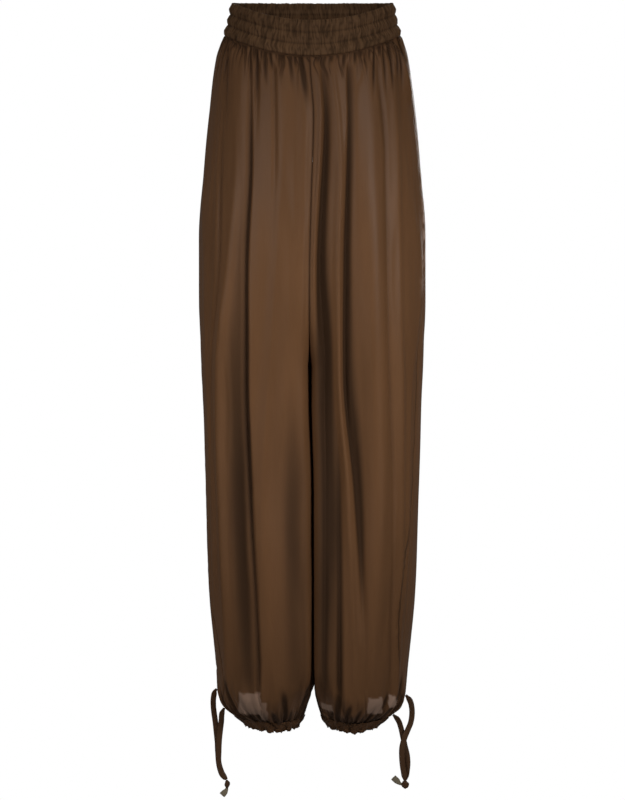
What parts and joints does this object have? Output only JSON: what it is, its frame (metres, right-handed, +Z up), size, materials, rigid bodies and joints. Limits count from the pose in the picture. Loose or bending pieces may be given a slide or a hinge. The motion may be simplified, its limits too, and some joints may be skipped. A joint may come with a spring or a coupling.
{
  "type": "balloon trousers",
  "caption": "Long balloon trousers in thin satin with a shirred elastic waistband, side pockets and gathered hems closed by knotted drawstrings, in their worn form.",
  "frame": {"origin": "middle of the waist opening, where the wearer's waist holds the trousers", "axes": "+Z up out of the waist, the front faces -Y, the wearer's right is at -X"},
  "size_m": [0.338, 0.2593, 1.1941],
  "materials": {
    "satin": "thin smooth satin with a soft sheen, slightly sheer",
    "shirred_band": "the same satin, doubled and shirred, so it looks more matte",
    "ribbon": "flat self-fabric ribbon"
  },
  "bodies": {
    "root": {"waistband": "shirred_band", "front_right": "satin", "front_left": "satin", "back_right": "satin", "back_left": "satin", "pocket_right": "satin", "pocket_left": "satin", "hem_right": "satin", "hem_left": "satin", "tie_right_outer": "ribbon", "tie_right_inner": "ribbon", "tie_left_outer": "ribbon", "tie_left_inner": "ribbon", "knot_right": "ribbon", "knot_left": "ribbon", "tail_right": "ribbon", "tail_left": "ribbon"}
  },
  "joints": []
}
